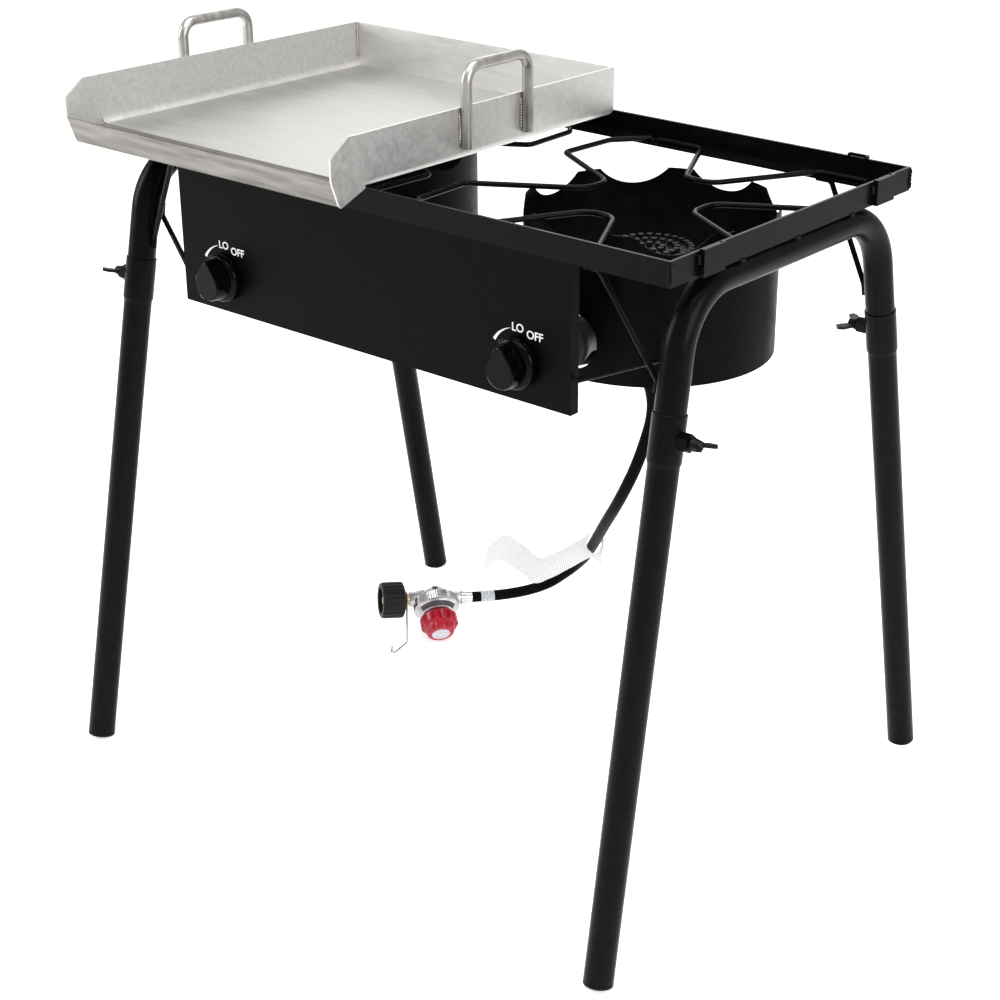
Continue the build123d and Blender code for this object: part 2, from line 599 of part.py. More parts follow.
def main():
    rails()
    right_supports = pot_supports()
    save(right_supports, "right_pot_supports")
    save(mirrored_x(right_supports), "left_pot_supports")
    legs()
    save(accessory_clips(), "accessory_clips")
    save(front_panel(), "front_panel")
    save(gas_manifold(), "gas_manifold")
    for side_x, side in ((-1, "left"), (1, "right")):
        save(leg_bracket(side_x), f"{side}_leg_bracket")
        save(panel_stay(side_x), f"{side}_panel_stay")
        save(shroud(side_x), f"{side}_shroud")
        save(burner(side_x), f"{side}_burner")
        save(burner_support(side_x), f"{side}_burner_support")
        save(air_shutter(side_x), f"{side}_air_shutter")
        save(valve(side_x), f"{side}_valve")
        save(valve_stem(side_x), f"{side}_valve_stem")
        save(knob(side_x), f"{side}_knob")
    save(griddle_pan(), "griddle_pan")
    save(griddle_handle(GRIDDLE_X[1], 1, -70.0, 843.0), "griddle_right_handle")
    save(griddle_handle(GRIDDLE_X[0], -1, -86.0, 837.0), "griddle_left_handle")
    save(hose(), "hose")
    save(hose_ferrule(), "hose_ferrule")
    save(regulator_body(), "regulator_body")
    save(regulator_bonnet(), "regulator_bonnet")
    save(regulator_knob(), "regulator_knob")
    save(tank_nipple(), "tank_nipple")
    save(tank_nut(), "tank_nut")
    save(retaining_wire(), "retaining_wire")
    save(safety_tag(), "safety_tag")


main()
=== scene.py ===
import json
import math

import bmesh
import bpy
from mathutils import Matrix, Vector


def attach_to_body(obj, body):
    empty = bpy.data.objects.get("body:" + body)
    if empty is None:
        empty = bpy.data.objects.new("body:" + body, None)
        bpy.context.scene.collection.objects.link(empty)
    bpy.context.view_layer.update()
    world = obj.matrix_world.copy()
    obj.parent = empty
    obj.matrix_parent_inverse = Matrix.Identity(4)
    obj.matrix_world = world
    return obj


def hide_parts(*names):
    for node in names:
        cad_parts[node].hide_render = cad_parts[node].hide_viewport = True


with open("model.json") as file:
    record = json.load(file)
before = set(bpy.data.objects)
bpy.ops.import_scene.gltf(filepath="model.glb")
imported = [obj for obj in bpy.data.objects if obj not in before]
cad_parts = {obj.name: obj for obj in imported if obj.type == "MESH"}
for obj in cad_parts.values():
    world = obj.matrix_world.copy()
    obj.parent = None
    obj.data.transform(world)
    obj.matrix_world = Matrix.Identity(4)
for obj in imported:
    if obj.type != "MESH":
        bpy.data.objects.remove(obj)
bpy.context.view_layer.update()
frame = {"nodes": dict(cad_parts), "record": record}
NODES = frame["nodes"]

# ------------------------------------------------------------------ sizes, in metres
RAIL_TOP = 0.744
RAIL_BOTTOM = 0.7186
HALF_LENGTH = 0.386
HALF_WIDTH = 0.217
FLANGE_TOP = 0.7216
TUBE = 0.015875
ROD = 0.003
BURNER_X = 0.2075
CONTROL_Z = 0.606
LEG_HIGH = Vector((0.375, 0.1946, 0.587))
LEG_LOW = Vector((0.388, 0.3081, 0.0))
LEG_UP = (LEG_HIGH - LEG_LOW).normalized()
SOCKET_TOP_Z = 0.589
SOCKET_RADIUS = 0.01715
SOCKET_BORE = TUBE + 0.00007
SOCKET_DEPTH = 0.046
TUBE_BORE = TUBE - 0.0015
BRACKET_BEND = 0.072
PLUG_CAP = 0.0025
CUT_END_Z = TUBE * math.sqrt(1 - LEG_UP.z**2) + PLUG_CAP * LEG_UP.z - 0.0009
LEG_LENGTH = (SOCKET_TOP_Z - CUT_END_Z) / LEG_UP.z
CORNERS = {"front_left": (-1, -1), "front_right": (1, -1), "back_left": (-1, 1), "back_right": (1, 1)}
SIDES = {"left": -1, "right": 1}
MANIFOLD_Y, MANIFOLD_Z, OUTLET_X = -0.194, 0.582, 0.120
OUTLET_DIRECTION = Vector((0.0, 0.915, -0.403)).normalized()
HOSE_START = Vector((OUTLET_X, MANIFOLD_Y, MANIFOLD_Z)) + OUTLET_DIRECTION * 0.038
HOSE_POINTS = [
    HOSE_START,
    HOSE_START + OUTLET_DIRECTION * 0.066,
    (0.126, -0.020, 0.534),
    (0.142, 0.060, 0.524),
    (0.149, 0.102, 0.456),
    (0.134, 0.092, 0.382),
    (0.104, 0.095, 0.320),
    (0.038, 0.150, 0.245),
    (-0.034, 0.225, 0.171),
    (-0.109, 0.296, 0.093),
]
REG_CENTRE = Vector((-0.2532, 0.1576, 0.0462))
HOSE_END = Vector((-0.2237, 0.1981, 0.0419))
REG_AXIS = (REG_CENTRE - HOSE_END).normalized()
REG_SIDE = -REG_AXIS.cross(Vector((0, 0, 1))).normalized()
REG_UP = REG_AXIS.cross(REG_SIDE).normalized()
KNOB_TILT = math.radians(31)
KNOB_AXIS = REG_SIDE * math.cos(KNOB_TILT) - REG_UP * math.sin(KNOB_TILT)
HOSE_RADIUS = 0.0072


# ------------------------------------------------------------------ materials
def new_material(name):
    material = bpy.data.materials.new(name)
    material.use_nodes = True
    nodes = material.node_tree.nodes
    links = material.node_tree.links
    return material, nodes, links, nodes["Principled BSDF"]


def noise_node(nodes, links, scale, detail=4.0, stretch=(1, 1, 1)):
    coords = nodes.new("ShaderNodeTexCoord")
    mapping = nodes.new("ShaderNodeMapping")
    mapping.inputs["Scale"].default_value = stretch
    noise = nodes.new("ShaderNodeTexNoise")
    noise.inputs["Scale"].default_value = scale
    noise.inputs["Detail"].default_value = detail
    links.new(coords.outputs["Object"], mapping.inputs["Vector"])
    links.new(mapping.outputs["Vector"], noise.inputs["Vector"])
    return noise


def drive_range(nodes, links, source, target, low, high):
    ranged = nodes.new("ShaderNodeMapRange")
    ranged.inputs["From Min"].default_value = 0.3
    ranged.inputs["From Max"].default_value = 0.7
    ranged.inputs["To Min"].default_value = low
    ranged.inputs["To Max"].default_value = high
    links.new(source, ranged.inputs["Value"])
    links.new(ranged.outputs["Result"], target)


def drive_colour(nodes, links, source, target, dark, light):
    ramp = nodes.new("ShaderNodeValToRGB")
    ramp.color_ramp.elements[0].position = 0.3
    ramp.color_ramp.elements[0].color = (*dark, 1)
    ramp.color_ramp.elements[1].position = 0.7
    ramp.color_ramp.elements[1].color = (*light, 1)
    links.new(source, ramp.inputs["Fac"])
    links.new(ramp.outputs["Color"], target)


def add_bump(nodes, links, source, shader, strength, distance):
    bump = nodes.new("ShaderNodeBump")
    bump.inputs["Strength"].default_value = strength
    bump.inputs["Distance"].default_value = distance
    links.new(source, bump.inputs["Height"])
    links.new(bump.outputs["Normal"], shader.inputs["Normal"])


def surface(
    name,
    dark,
    light,
    rough,
    metallic=0.0,
    scale=60.0,
    stretch=(1, 1, 1),
    bump=0.1,
    depth=0.0003,
    grain=900.0,
    gloss=0.5,
):
    """Material whose colour and gloss drift with a broad noise and whose skin has a fine grain."""
    material, nodes, links, shader = new_material(name)
    broad = noise_node(nodes, links, scale, 5.0, stretch)
    fine = noise_node(nodes, links, grain, 2.0, stretch)
    drive_colour(nodes, links, broad.outputs["Fac"], shader.inputs["Base Color"], dark, light)
    drive_range(nodes, links, broad.outputs["Fac"], shader.inputs["Roughness"], *rough)
    add_bump(nodes, links, fine.outputs["Fac"], shader, bump, depth)
    shader.inputs["Metallic"].default_value = metallic
    shader.inputs["Specular IOR Level"].default_value = gloss
    return material


def printed_paper(name):
    """Off-white paper with rows of fine grey marks standing for print."""
    material, nodes, links, shader = new_material(name)
    coords = nodes.new("ShaderNodeUVMap")
    coords.uv_map = "strip"
    rows = nodes.new("ShaderNodeTexWave")
    rows.bands_direction = "Y"
    rows.inputs["Scale"].default_value = 4.2
    rows.inputs["Distortion"].default_value = 0.3
    links.new(coords.outputs["UV"], rows.inputs["Vector"])
    words = nodes.new("ShaderNodeTexNoise")
    words.inputs["Scale"].default_value = 22.0
    words.inputs["Detail"].default_value = 3.0
    links.new(coords.outputs["UV"], words.inputs["Vector"])
    both = nodes.new("ShaderNodeMath")
    both.operation = "MULTIPLY"
    links.new(rows.outputs["Fac"], both.inputs[0])
    links.new(words.outputs["Fac"], both.inputs[1])
    ramp = nodes.new("ShaderNodeValToRGB")
    ramp.color_ramp.elements[0].position = 0.26
    ramp.color_ramp.elements[0].color = (0.80, 0.80, 0.79, 1)
    ramp.color_ramp.elements[1].position = 0.52
    ramp.color_ramp.elements[1].color = (0.52, 0.52, 0.53, 1)
    links.new(both.outputs["Value"], ramp.inputs["Fac"])
    links.new(ramp.outputs["Color"], shader.inputs["Base Color"])
    shader.inputs["Roughness"].default_value = 0.6
    fine = noise_node(nodes, links, 300.0)
    add_bump(nodes, links, fine.outputs["Fac"], shader, 0.05, 0.0002)
    return material


HANDLE_SPREAD = 0.100
HANDLE_FEET = [
    (x, y, 0.778)
    for x, front_y in ((0.014, -0.070), (-0.400, -0.086))
    for y in (front_y, front_y + HANDLE_SPREAD)
]
TINT_REACH = (0.0062, 0.0115, 0.034)


def heated_stainless(name):
    """Brushed sheet with straw-brown heat tint around the four welded handle feet."""
    material = surface(
        name, (0.58, 0.57, 0.55), (0.68, 0.67, 0.65), (0.40, 0.5), 0.7, 30, (1, 6, 6), 0.10, 0.0002, 700.0
    )
    nodes = material.node_tree.nodes
    links = material.node_tree.links
    shader = nodes["Principled BSDF"]
    sheet_colour = shader.inputs["Base Color"].links[0].from_socket
    coords = nodes.new("ShaderNodeTexCoord")
    tint = None
    for foot in HANDLE_FEET:
        mapping = nodes.new("ShaderNodeMapping")
        mapping.inputs["Location"].default_value = [-at / reach for at, reach in zip(foot, TINT_REACH)]
        mapping.inputs["Scale"].default_value = [1 / reach for reach in TINT_REACH]
        links.new(coords.outputs["Object"], mapping.inputs["Vector"])
        spot = nodes.new("ShaderNodeTexGradient")
        spot.gradient_type = "SPHERICAL"
        links.new(mapping.outputs["Vector"], spot.inputs["Vector"])
        if tint is None:
            tint = spot.outputs["Fac"]
            continue
        widest = nodes.new("ShaderNodeMath")
        widest.operation = "MAXIMUM"
        links.new(tint, widest.inputs[0])
        links.new(spot.outputs["Fac"], widest.inputs[1])
        tint = widest.outputs["Value"]
    ramp = nodes.new("ShaderNodeValToRGB")
    ramp.color_ramp.elements[0].color = (1, 1, 1, 1)
    ramp.color_ramp.elements[1].position = 0.40
    ramp.color_ramp.elements[1].color = (0.42, 0.33, 0.25, 1)
    middle = ramp.color_ramp.elements.new(0.16)
    middle.color = (0.84, 0.73, 0.60, 1)
    links.new(tint, ramp.inputs["Fac"])
    mix = nodes.new("ShaderNodeMix")
    mix.data_type = "RGBA"
    mix.blend_type = "MULTIPLY"
    mix.inputs["Factor"].default_value = 1.0
    links.new(sheet_colour, mix.inputs["A"])
    links.new(ramp.outputs["Color"], mix.inputs["B"])
    links.new(mix.outputs["Result"], shader.inputs["Base Color"])
    return material


MATERIALS = {
    "black_frame": surface(
        "black_enamel", (0.0018, 0.0018, 0.002), (0.0034, 0.0034, 0.0038),
        (0.24, 0.34), bump=0.05, gloss=0.07
    ),
    "black_sheet": surface(
        "black_sheet_enamel", (0.0014, 0.0013, 0.0013), (0.0028, 0.0026, 0.0025),
        (0.34, 0.46), bump=0.06, gloss=0.04
    ),
    "cast_iron": surface(
        "cast_iron", (0.004, 0.004, 0.004), (0.012, 0.0115, 0.011),
        (0.4, 0.55), 0.0, 90, bump=0.5, gloss=0.2
    ),
    "dark_zinc": surface(
        "black_plated_steel", (0.004, 0.004, 0.004), (0.008, 0.008, 0.0085), (0.25, 0.4), gloss=0.15
    ),
    "plug_plastic": surface(
        "plug_plastic", (0.005, 0.005, 0.005), (0.009, 0.009, 0.009), (0.45, 0.6), gloss=0.1
    ),
    "zinc_sheet": surface(
        "zinc_sheet", (0.012, 0.012, 0.012), (0.025, 0.024, 0.023), (0.35, 0.5), 0.0, 40, gloss=0.3
    ),
    "brass": surface("brass", (0.5, 0.36, 0.15), (0.68, 0.52, 0.24), (0.22, 0.4), 1.0, 80),
    "steel_pipe": surface(
        "pipe_paint", (0.003, 0.003, 0.003), (0.007, 0.007, 0.0075), (0.3, 0.5), gloss=0.1
    ),
    "stem_steel": surface("bright_steel", (0.42, 0.42, 0.41), (0.6, 0.6, 0.59), (0.2, 0.35), 1.0, 120),
    "knob_plastic": surface(
        "knob_phenolic", (0.0008, 0.0008, 0.0008), (0.0018, 0.0018, 0.002),
        (0.1, 0.16), bump=0.02, gloss=0.08
    ),
    "nut_plastic": surface(
        "nut_plastic", (0.007, 0.007, 0.0075), (0.013, 0.013, 0.014), (0.4, 0.55), bump=0.12, gloss=0.15
    ),
    "hose_rubber": surface(
        "hose_rubber", (0.002, 0.002, 0.0021), (0.004, 0.004, 0.0042), (0.4, 0.5), gloss=0.02
    ),
    "die_cast": surface(
        "die_cast_zinc", (0.42, 0.42, 0.43), (0.66, 0.66, 0.67), (0.22, 0.4), 1.0, 70, bump=0.35
    ),
    "red_plastic": surface(
        "red_plastic", (0.30, 0.004, 0.016), (0.44, 0.009, 0.03), (0.22, 0.35), bump=0.04, gloss=0.35
    ),
    "print": printed_paper("printed_strip"),
    "tag_card": surface("tag_paper", (0.78, 0.78, 0.77), (0.88, 0.88, 0.87), (0.6, 0.75), bump=0.1),
    "label_paper": surface(
        "label_paper", (0.34, 0.36, 0.39), (0.70, 0.72, 0.75), (0.45, 0.6), 0.0, 420, bump=0.03
    ),
    "label_ink": surface(
        "label_ink", (0.030, 0.018, 0.028), (0.075, 0.050, 0.070), (0.4, 0.55), 0.0, 500, bump=0.03
    ),
    "chrome": surface("plated_ferrule", (0.6, 0.58, 0.55), (0.8, 0.79, 0.76), (0.12, 0.22), 1.0, 90),
    "stainless": surface(
        "polished_bar", (0.36, 0.345, 0.325), (0.56, 0.545, 0.52),
        (0.28, 0.42), 0.9, 30, (4, 4, 1), 0.06, 0.0001
    ),
    "heated_stainless": heated_stainless("brushed_stainless"),
    # Darker copy of the brushed sheet for the gutter: painted shade for the gutter lying in the shadow of the
    # griddle's front lip.
    "gutter_painted_shade_stainless": surface(
        "gutter_painted_shade_stainless", (0.13, 0.12, 0.11), (0.30, 0.285, 0.265),
        (0.36, 0.52), 0.85, 16, (1, 7, 7), 0.2, 0.0002, 500.0
    ),
    "floor_stainless": surface(
        "floor_stainless", (0.40, 0.395, 0.38), (0.48, 0.475, 0.46),
        (0.42, 0.52), 0.8, 14, (1, 5, 5), 0.10, 0.0002, 700.0
    ),
}


def dress(obj, slot, body):
    """Give a piece the material that its slot names and the body it rides on."""
    obj.data.materials.clear()
    obj.data.materials.append(MATERIALS[slot])
    return attach(obj, body)


def attach(obj, body):
    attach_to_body(obj, body)
    return obj


# ------------------------------------------------------------------ mesh helpers
def mesh_object(name, points, faces, smooth_angle=35):
    mesh = bpy.data.meshes.new(name)
    mesh.from_pydata([tuple(p) for p in points], [], faces)
    mesh.validate()
    mesh.shade_smooth()
    mesh.set_sharp_from_angle(angle=math.radians(smooth_angle))
    obj = bpy.data.objects.new(name, mesh)
    bpy.context.collection.objects.link(obj)
    return obj


def fillet_path(points, radii, steps=10):
    """Dense points along straight runs joined by tangent arcs."""
    points = [Vector(p) for p in points]
    if not isinstance(radii, (list, tuple)):
        radii = [radii] * (len(points) - 2)
    path = [points[0]]
    for before, here, after, radius in zip(points, points[1:], points[2:], radii):
        arriving = (here - before).normalized()
        leaving = (after - here).normalized()
        turn = arriving.angle(leaving)
        if turn < 1e-4:
            path.append(here)
            continue
        reach = radius * math.tan(turn / 2)
        start = here - arriving * reach
        inward = (leaving - arriving * arriving.dot(leaving)).normalized()
        centre = start + inward * radius
        for k in range(steps + 1):
            angle = turn * k / steps
            path.append(centre - inward * radius * math.cos(angle) + arriving * radius * math.sin(angle))
    path.append(points[-1])
    return path


def sweep(name, path, section, closed_ends=True, smooth_angle=40, bore=None):
    """Mesh of a closed section, a list of (u, v), carried along the path without twisting.

    A bore is the share of the section that is hollow, and it leaves both ends open.
    """
    path = [Vector(p) for p in path]
    tangent = (path[1] - path[0]).normalized()
    side = tangent.orthogonal().normalized()
    verts, inner, faces = [], [], []
    count = len(section)
    for k, here in enumerate(path):
        before = path[max(k - 1, 0)]
        after = path[min(k + 1, len(path) - 1)]
        new_tangent = (after - before).normalized()
        side = (tangent.rotation_difference(new_tangent) @ side).normalized()
        tangent = new_tangent
        up = tangent.cross(side)
        verts += [here + side * u + up * v for u, v in section]
        if bore:
            inner += [here + (side * u + up * v) * bore for u, v in section]
    shift = len(verts)
    verts += inner
    for k in range(len(path) - 1):
        for j in range(count):
            a = k * count + j
            b = k * count + (j + 1) % count
            faces.append((a, b, b + count, a + count))
            if bore:
                faces.append((a + shift, a + count + shift, b + count + shift, b + shift))
    if bore:
        for j in range(count):
            b = (j + 1) % count
            far = shift - count
            faces.append((j, j + shift, b + shift, b))
            faces.append((far + j, far + b, far + b + shift, far + j + shift))
    elif closed_ends:
        faces.append(tuple(reversed(range(count))))
        faces.append(tuple(range(len(verts) - count, len(verts))))
    return mesh_object(name, verts, faces, smooth_angle)


def circle(radius, count=24):
    angles = [2 * math.pi * k / count for k in range(count)]
    return [(radius * math.cos(angle), radius * math.sin(angle)) for angle in angles]


def bar(name, points, radius, bend, count=20):
    return sweep(name, fillet_path(points, bend), circle(radius, count))


def frame_axes(direction, hint=(0, 0, 1)):
    z = Vector(direction).normalized()
    x = Vector(hint) - z * z.dot(Vector(hint))
    x = x.normalized() if x.length > 1e-6 else z.orthogonal().normalized()
    return x, z.cross(x), z


def lathe(name, profile, origin, direction, count=48, smooth_angle=35, wave=None, hollow=False):
    """Solid of revolution; profile is (along, radius) pairs, wave can flute the radius.

    A hollow profile runs up the outside and back down the bore, and its last row joins its first.
    """
    x, y, z = frame_axes(direction)
    origin = Vector(origin)
    verts, faces = [], []
    for along, radius in profile:
        for k in range(count):
            angle = 2 * math.pi * k / count
            r = radius + (wave(angle, along, radius) if wave else 0.0)
            verts.append(origin + z * along + (x * math.cos(angle) + y * math.sin(angle)) * r)
    rows = len(profile)
    for row in range(rows if hollow else rows - 1):
        for k in range(count):
            a, b = row * count + k, row * count + (k + 1) % count
            above = ((row + 1) % rows - row) * count
            faces.append((a, b, b + above, a + above))
    if not hollow:
        faces.append(tuple(reversed(range(count))))
        faces.append(tuple(range((rows - 1) * count, rows * count)))
    return mesh_object(name, verts, faces, smooth_angle)


def on_leg(z, side_x, side_y):
    point = LEG_LOW + LEG_UP * ((z - LEG_LOW.z) / LEG_UP.z)
    return Vector((point.x * side_x, point.y * side_y, point.z))


def join(name, objects):
    for obj in bpy.context.selected_objects:
        obj.select_set(False)
    for obj in objects:
        obj.select_set(True)
    bpy.context.view_layer.objects.active = objects[0]
    bpy.ops.object.join()
    objects[0].name = name
    return objects[0]


# ------------------------------------------------------------------ CAD nodes kept as they are
NODE_SLOTS = {item["node"]: item["material_slot"] for item in frame["record"]["subparts"]}
NODE_OVERRIDES = {"tank_nut": "nut_plastic", "hose_ferrule": "chrome"}


def dress_nodes():
    for name, obj in NODES.items():
        key = NODE_OVERRIDES.get(name, NODE_SLOTS[name])
        obj.data.materials.clear()
        obj.data.materials.append(MATERIALS[key])
        obj.data.shade_smooth()
        obj.data.set_sharp_from_angle(angle=math.radians(30))


dress_nodes()


# ------------------------------------------------------------------ tubes and rods
def leg_brackets():
    for side, s in SIDES.items():
        top = RAIL_BOTTOM - TUBE
        low = SOCKET_TOP_Z - SOCKET_DEPTH * LEG_UP.z
        points = [on_leg(low, s, -1), on_leg(top, s, -1), on_leg(top, s, 1), on_leg(low, s, 1)]
        path = fillet_path(points, BRACKET_BEND, 16)
        piece = sweep(f"{side}_bracket_tube", path, circle(TUBE, 40), bore=TUBE_BORE / TUBE)
        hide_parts(f"{side}_leg_bracket")
        dress(piece, "black_frame", "stand")


def leg_tubes():
    for corner, (sx, sy) in CORNERS.items():
        up = Vector((LEG_UP.x * sx, LEG_UP.y * sy, LEG_UP.z))
        foot = on_leg(CUT_END_Z, sx, sy)
        top = LEG_LENGTH
        profile = [(0.0, TUBE - 0.0003), (0.0004, TUBE), (top - 0.053, TUBE)]
        profile += [(top - 0.0505, TUBE + 0.0002), (top - 0.048, SOCKET_RADIUS - 0.0002)]
        profile += [(top - 0.0465, SOCKET_RADIUS)]
        profile += [(top - 0.0005, SOCKET_RADIUS), (top, SOCKET_RADIUS - 0.0004), (top, SOCKET_BORE)]
        profile += [(top - SOCKET_DEPTH, SOCKET_BORE), (top - SOCKET_DEPTH, TUBE_BORE), (0.0, TUBE_BORE)]
        piece = lathe(f"{corner}_leg_tube", profile, foot, up, 48, hollow=True)
        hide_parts(f"{corner}_leg")
        dress(piece, "black_frame", f"{corner}_leg_assembly")


def braces():
    for corner, (sx, sy) in CORNERS.items():
        inner = Vector((-sx, 0, 0)) * (TUBE + ROD + 0.00005)
        top = Vector((sx * 0.297, sy * 0.205, RAIL_BOTTOM - ROD))
        points = [top + Vector((-sx * 0.018, 0, 0)), top]
        points += [on_leg(z, sx, sy) + inner for z in (0.615, 0.603)]
        piece = bar(f"{corner}_brace_rod", points, ROD, 0.008)
        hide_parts(f"{corner}_brace")
        dress(piece, "black_frame", "stand")
    for side, s in SIDES.items():
        beside = Vector((-s * 0.6, 0.8, 0)) * (TUBE + ROD + 0.0003)
        start = (s * (0.2737 + ROD), -0.210, 0.602)
        points = [start, on_leg(0.636, s, -1) + beside, on_leg(0.650, s, -1) + beside]
        piece = bar(f"{side}_stay_rod", points, ROD, 0.006)
        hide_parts(f"{side}_panel_stay")
        dress(piece, "black_frame", "stand")


FOOT_BEND = 0.012
FINGER_TIP_BEND = 0.024


def pot_supports():
    z = FLANGE_TOP + ROD
    inner = [(59, 199), (29, 161), (25, 84), (135, 17), (135, -17), (25, -84), (29, -161), (59, -199)]
    outer = [(376, 84), (352, 68), (270, 19), (270, -19), (352, -68), (376, -84)]
    back = [(72, 199), (130, 199), (189, 84), (222, 84), (285, 199), (346, 199)]
    front = [(x, -y) for x, y in back]
    for side, s in SIDES.items():
        rods = []
        for k, (points, first_bends) in enumerate(((inner, 2), (outer, 1), (back, 1), (front, 1))):
            bends = [FOOT_BEND] * first_bends + [FINGER_TIP_BEND] * 2 + [FOOT_BEND] * first_bends
            route = [(s * x / 1000, y / 1000, z) for x, y in points]
            rods.append(bar(f"{side}_support_{k}", route, ROD, bends))
        piece = join(f"{side}_support_rods", rods)
        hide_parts(f"{side}_pot_supports")
        dress(piece, "black_frame", "stand")


leg_brackets()
leg_tubes()
braces()
pot_supports()


# ------------------------------------------------------------------ hose
def hose():
    curve = bpy.data.curves.new("hose_tube", "CURVE")
    curve.dimensions = "3D"
    curve.bevel_depth = HOSE_RADIUS
    curve.bevel_resolution = 8
    curve.resolution_u = 24
    curve.use_fill_caps = True
    points = [Vector(p) for p in HOSE_POINTS] + [HOSE_END - REG_AXIS * 0.086, HOSE_END]
    spline = curve.splines.new("NURBS")
    spline.points.add(len(points) - 1)
    for slot_point, point in zip(spline.points, points):
        slot_point.co = (*point, 1)
    spline.order_u = 3
    spline.use_endpoint_u = True
    piece = bpy.data.objects.new("hose_tube", curve)
    bpy.context.collection.objects.link(piece)
    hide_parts("hose")
    piece.data.materials.append(MATERIALS["hose_rubber"])
    attach(piece, "stand")
    return piece


hose_piece = hose()


# ------------------------------------------------------------------ griddle
GRIDDLE_LOW_X, GRIDDLE_HIGH_X = -0.396, 0.010
GRIDDLE_BACK = 0.192
GRIDDLE_SHEET = 0.0025
HANDLE_RADIUS = 0.006
TROUGH_TOP_Y = -0.2176


def extruded(name, outline, axis, low, high, smooth_angle=30):
    """Prism of a closed 2-D outline: axis X takes (y, z) pairs, axis Y takes (x, z) pairs."""
    count = len(outline)
    if axis == "X":
        verts = [(low, a, b) for a, b in outline] + [(high, a, b) for a, b in outline]
    else:
        verts = [(a, low, b) for a, b in outline] + [(a, high, b) for a, b in outline]
    faces = [(k, (k + 1) % count, count + (k + 1) % count, count + k) for k in range(count)]
    faces += [tuple(reversed(range(count))), tuple(range(count, 2 * count))]
    obj = mesh_object(name, verts, faces, smooth_angle)
    recalculate(obj)
    return obj


def recalculate(obj):
    work = bmesh.new()
    work.from_mesh(obj.data)
    bmesh.ops.recalc_face_normals(work, faces=work.faces)
    work.to_mesh(obj.data)
    work.free()


def folded(corners, bend, thickness):
    """Closed outline of a sheet folded along a 2-D path; its even thickness grows to the path's left."""
    path = fillet_path([(a, b, 0) for a, b in corners], bend, 8)
    inner = []
    for k, here in enumerate(path):
        before = path[max(k - 1, 0)]
        after = path[min(k + 1, len(path) - 1)]
        along = (after - before).normalized()
        inner.append(here + Vector((-along.y, along.x, 0)) * thickness)
    return [(p.x, p.y) for p in path] + [(p.x, p.y) for p in reversed(inner)]


def griddle():
    low, high, t = GRIDDLE_LOW_X, GRIDDLE_HIGH_X, GRIDDLE_SHEET
    tray = folded([(low, 0.800), (low, RAIL_TOP), (high, RAIL_TOP), (high, 0.800)], 0.010, t)
    floor = extruded("griddle_floor", tray, "Y", TROUGH_TOP_Y, GRIDDLE_BACK - t)
    rim = fillet_path([(low, 0.800, 0), (low, RAIL_TOP, 0), (high, RAIL_TOP, 0), (high, 0.800, 0)], 0.010, 8)
    back = extruded("griddle_back", [(p.x, p.y) for p in rim], "Y", GRIDDLE_BACK - t, GRIDDLE_BACK)
    trough_path = [(TROUGH_TOP_Y, RAIL_TOP), (-0.254, 0.730), (-0.265, 0.760)]
    trough = extruded("griddle_trough", folded(list(reversed(trough_path)), 0.004, t), "X", low + t, high - t)
    cheek = [(TROUGH_TOP_Y, RAIL_TOP), (-0.2525, 0.7306), (-0.2555, 0.7335), (-0.265, 0.760), (-0.265, 0.782)]
    cheek += [(-0.239, 0.800), (TROUGH_TOP_Y, 0.800)]
    cheeks = [extruded("griddle_cheek", cheek, "X", x, x + t) for x in (low, high - t)]
    # The gutter takes the darker stainless, a painted shade for the shadow under the lip.
    dress(trough, "gutter_painted_shade_stainless", "griddle")
    tray_piece = join("griddle_tray", [floor, back, *cheeks])
    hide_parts("griddle_pan")
    dress(tray_piece, "heated_stainless", "griddle")
    tray_piece.data.materials.append(MATERIALS["floor_stainless"])
    for polygon in tray_piece.data.polygons:
        on_floor = abs(polygon.normal.z) > 0.98 and polygon.center.z < RAIL_TOP + 0.004
        polygon.material_index = 1 if on_floor else 0
    handles = (("right", high + HANDLE_RADIUS, -0.070, 0.843), ("left", low - HANDLE_RADIUS, -0.086, 0.837))
    for side, x, front_y, top in handles:
        back_y = front_y + HANDLE_SPREAD
        points = [(x, front_y, 0.757), (x, front_y, top), (x, back_y, top), (x, back_y, 0.757)]
        handle = bar(f"griddle_{side}_loop", points, HANDLE_RADIUS, 0.018, 28)
        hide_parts(f"griddle_{side}_handle")
        dress(handle, "stainless", "griddle")


griddle()


# ------------------------------------------------------------------ welds
def bead(name, start, end, radius=0.0022, pitch=0.0022):
    """Rippled weld bead between two points."""
    start, end = Vector(start), Vector(end)
    length = (end - start).length
    x, y, z = frame_axes(end - start, (0.3, 0.5, 0.8))
    steps = max(4, int(length / pitch) * 4)
    verts, faces, count = [], [], 10
    for k in range(steps + 1):
        t = k / steps
        swell = 0.78 + 0.22 * abs(math.sin(math.pi * t * length / pitch))
        taper = min(1.0, 6 * t + 0.25, 6 * (1 - t) + 0.25)
        for j in range(count):
            angle = 2 * math.pi * j / count
            wobble = 1 + 0.10 * math.sin(3 * angle + 7 * t + 40 * start.x)
            r = radius * swell * taper * wobble
            verts.append(start + z * (length * t) + x * (r * math.cos(angle)) + y * (r * math.sin(angle)))
    for k in range(steps):
        for j in range(count):
            a = k * count + j
            b = k * count + (j + 1) % count
            faces.append((a, b, b + count, a + count))
    faces.append(tuple(reversed(range(count))))
    faces.append(tuple(range(steps * count, (steps + 1) * count)))
    return mesh_object(name, verts, faces, 60)


